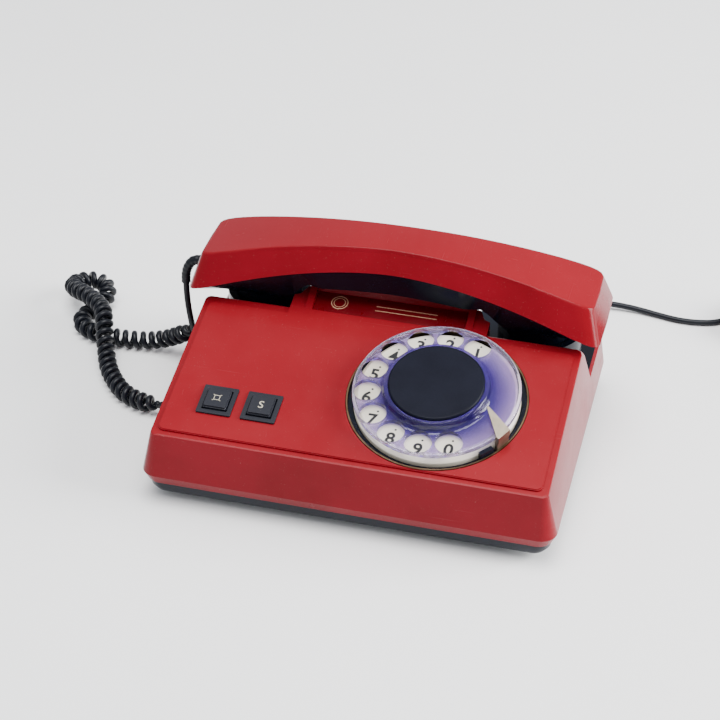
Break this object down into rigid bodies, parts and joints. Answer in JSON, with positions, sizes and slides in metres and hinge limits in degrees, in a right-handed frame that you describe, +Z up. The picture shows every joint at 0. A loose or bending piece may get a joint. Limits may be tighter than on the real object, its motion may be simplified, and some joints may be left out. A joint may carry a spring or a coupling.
{
  "type": "desk telephone",
  "caption": "Low wedge-shaped desk telephone with a rotary dial, push keys and a handset lying across the back, with a curly handset cord and a coiled line cord.",
  "frame": {"origin": "on the table under the middle of the telephone, without its cords", "axes": "+X to the right seen from the keys and dial, +Y to the back, +Z up"},
  "size_m": [0.4193, 0.2475, 0.0955],
  "materials": {
    "red_plastic": "glossy moulded ABS",
    "nameplate_red": "satin",
    "black_plastic": "glossy moulded",
    "key_plastic": "satin moulded",
    "switch_plastic": "moulded",
    "ivory_plastic": "satin moulded",
    "violet_clear": "clear tinted acrylic",
    "foot_rubber": "matte",
    "cord_rubber": "satin vinyl",
    "plug_plastic": "moulded",
    "steel": "zinc plated",
    "spring_steel": "blued",
    "brass": "polished",
    "board": "phenolic board",
    "capacitor_can": "drawn can"
  },
  "bodies": {
    "base": {"base_pan": "black_plastic", "rubber_feet": "foot_rubber", "housing_screws": "steel", "upper_housing": "red_plastic", "nameplate": "nameplate_red", "key_bezel_left": "key_plastic", "key_bezel_right": "key_plastic", "key_switch_left": "switch_plastic", "key_switch_right": "switch_plastic", "dial_trim_ring": "brass", "dial_mount_ring": "black_plastic", "number_plate": "ivory_plastic", "finger_stop": "ivory_plastic", "dial_frame": "steel", "dial_back_plate": "steel", "dial_pillars": "steel", "dial_bush": "brass", "mainspring": "spring_steel", "dial_contacts": "brass", "circuit_board": "board", "transformer": "switch_plastic", "capacitor": "capacitor_can", "terminal_block": "ivory_plastic", "board_screws": "steel", "gong_large": "steel", "gong_small": "steel", "gong_posts": "steel", "ringer_coil": "switch_plastic", "hook_spring": "spring_steel", "hook_contacts": "brass", "body_boot": "cord_rubber", "handset_cord_tail": "cord_rubber", "handset_cord_curl": "cord_rubber", "handset_cord_end": "cord_rubber", "line_gland": "cord_rubber", "line_cord": "cord_rubber", "line_cord_coil": "cord_rubber", "line_plug": "plug_plastic"},
    "dial": {"finger_wheel": "violet_clear", "hub_cap": "black_plastic", "dial_shaft": "steel", "main_gear": "brass"},
    "second_arbor": {"pinion_gear": "brass", "pulse_cam": "switch_plastic"},
    "governor_arbor": {"governor": "steel", "governor_weights": "brass"},
    "left_key": {"key_cap_left": "key_plastic"},
    "right_key": {"key_cap_right": "key_plastic"},
    "bell_hammer": {"clapper": "brass"},
    "hook_switch": {"hook_plungers": "ivory_plastic", "hook_yoke": "steel"},
    "handset": {"handset_shell": "red_plastic", "handset_cover": "black_plastic", "ear_cap": "black_plastic", "mouth_cap": "black_plastic", "receiver_capsule": "capacitor_can", "transmitter_capsule": "capacitor_can", "handset_screws": "steel", "handset_boot": "cord_rubber"}
  },
  "joints": [
    {"name": "dial_turn", "type": "hinge", "parent": "base", "child": "dial", "pos_m": [0.0333, -0.0271, 0.04902], "axis": [0, -0.2334, 0.9724], "range_deg": [-306, 0], "stiffness_Nm_per_rad": 0.004, "springref_deg": 68.75},
    {"name": "second_arbor_turn", "type": "hinge", "parent": "base", "child": "second_arbor", "pos_m": [0.01252, -0.01263, 0.04015], "axis": [0, -0.2334, 0.9724], "range_deg": [-10, 1240]},
    {"name": "governor_turn", "type": "hinge", "parent": "base", "child": "governor_arbor", "pos_m": [0.00349, -0.02105, 0.03813], "axis": [0, -0.2334, 0.9724], "range_deg": [-4920, 20]},
    {"name": "left_key_press", "type": "slide", "parent": "base", "child": "left_key", "axis": [0, 0.2334, -0.9724], "range_m": [0, 0.0025], "stiffness_N_per_m": 200, "springref_m": -0.0015},
    {"name": "right_key_press", "type": "slide", "parent": "base", "child": "right_key", "axis": [0, 0.2334, -0.9724], "range_m": [0, 0.0025], "stiffness_N_per_m": 200, "springref_m": -0.0015},
    {"name": "clapper_swing", "type": "hinge", "parent": "base", "child": "bell_hammer", "pos_m": [-0.0473, 0.014, 0.015], "axis": [0, 0, 1], "range_deg": [-5, 5], "stiffness_Nm_per_rad": 0.0006},
    {"name": "handset_lift", "type": "slide", "parent": "base", "child": "handset", "axis": [0, 0, 1], "range_m": [0, 0.05]},
    {"name": "hook_rise", "type": "slide", "parent": "base", "child": "hook_switch", "axis": [0, 0, 1], "range_m": [0, 0.005], "deforming": ["hook_spring"]}
  ],
  "couplings": [
    {"joint": "second_arbor_turn", "follows": "dial_turn", "ratio": -4},
    {"joint": "governor_turn", "follows": "dial_turn", "ratio": 16},
    {"joint": "hook_rise", "follows": "handset_lift", "ratio": 0.1}
  ]
}
